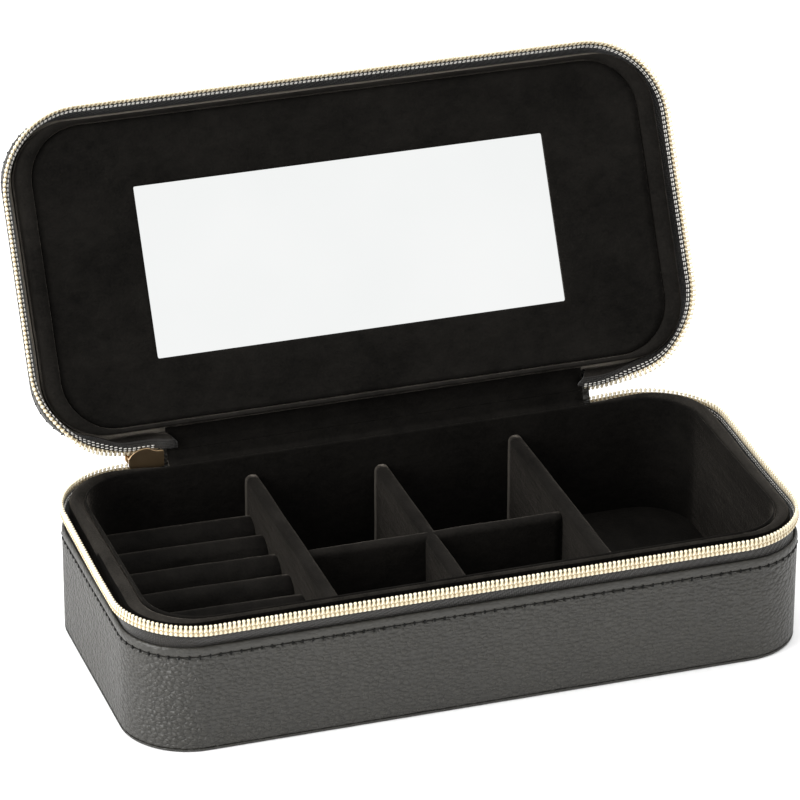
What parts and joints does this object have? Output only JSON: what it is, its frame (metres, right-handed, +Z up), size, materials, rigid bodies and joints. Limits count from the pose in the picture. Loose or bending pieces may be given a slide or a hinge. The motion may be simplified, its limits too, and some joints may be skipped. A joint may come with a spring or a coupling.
{
  "type": "jewellery case",
  "caption": "Zip-around leather jewellery case, open, with ring rolls and divided velvet compartments in the base and a mirror in the hinged lid.",
  "frame": {"origin": "centre of the base's underside, on the surface that the case stands on", "axes": "+X along the long side to the right seen from the front, +Y to the hinge at the back, +Z up"},
  "size_m": [0.2192, 0.1626, 0.147],
  "materials": {
    "base_leather": "pebbled",
    "lid_leather": "pebbled",
    "spine_leather": "pebbled",
    "velvet": "velvet",
    "velvet_rolls": "velvet",
    "velvet_dividers": "velvet",
    "zip_tape": "woven",
    "zip_coil": "pale gold",
    "zip_metal": "polished",
    "thread": "twisted",
    "board": "grey board",
    "foam": "open-cell foam",
    "mirror_glass": "silvered glass"
  },
  "bodies": {
    "base": {"base_bottom_leather": "base_leather", "base_bottom_board": "board", "base_wall_core": "board", "base_leather_wall": "base_leather", "base_stitching": "thread", "tray_floor_pad": "velvet", "tray_wall_lining": "velvet", "base_collar": "velvet", "divider_left": "velvet_dividers", "divider_right": "velvet_dividers", "divider_middle": "velvet_dividers", "divider_cross": "velvet_dividers", "base_zip_tape": "zip_tape", "base_zip_coil": "zip_coil", "ring_roll_1": "velvet_rolls", "ring_roll_2": "velvet_rolls", "ring_roll_3": "velvet_rolls", "ring_roll_4": "velvet_rolls", "ring_roll_5": "velvet_rolls", "ring_roll_6": "velvet_rolls", "ring_roll_7": "velvet_rolls"},
    "spine": {"spine_leather": "spine_leather", "spine_board": "board", "spine_lining": "velvet"},
    "lid": {"lid_leather_wall": "lid_leather", "lid_top_leather": "lid_leather", "lid_top_board": "board", "lid_wall_core": "board", "lid_stitching": "thread", "lid_zip_tape": "zip_tape", "lid_zip_coil": "zip_coil", "lid_collar": "velvet", "lid_velvet_panel": "velvet", "mirror_frame_board": "board", "mirror_glass": "mirror_glass", "mirror_backing_board": "board", "lid_foam": "foam"},
    "slider": {"zip_slider": "zip_metal"},
    "pull": {"zip_pull": "zip_metal"}
  },
  "joints": [
    {"name": "spine_fold", "type": "hinge", "parent": "base", "child": "spine", "pos_m": [0, 0.05135, 0.04145], "axis": [-1, 0, 0], "range_deg": [-20, 1.03]},
    {"name": "lid_fold", "type": "hinge", "parent": "spine", "child": "lid", "pos_m": [0, 0.05455, 0.05024], "axis": [-1, 0, 0], "range_deg": [-97.5, 5]},
    {"name": "slider_run", "type": "slide", "parent": "base", "child": "slider", "axis": [-1, 0, 0], "range_m": [0, 0.005]},
    {"name": "pull_swing", "type": "hinge", "parent": "slider", "child": "pull", "pos_m": [-0.0755, 0.0565, 0.0426], "axis": [0, 0, 1], "range_deg": [-3, 60]}
  ],
  "couplings": [
    {"joint": "spine_fold", "follows": "lid_fold", "ratio": 0.20513}
  ]
}
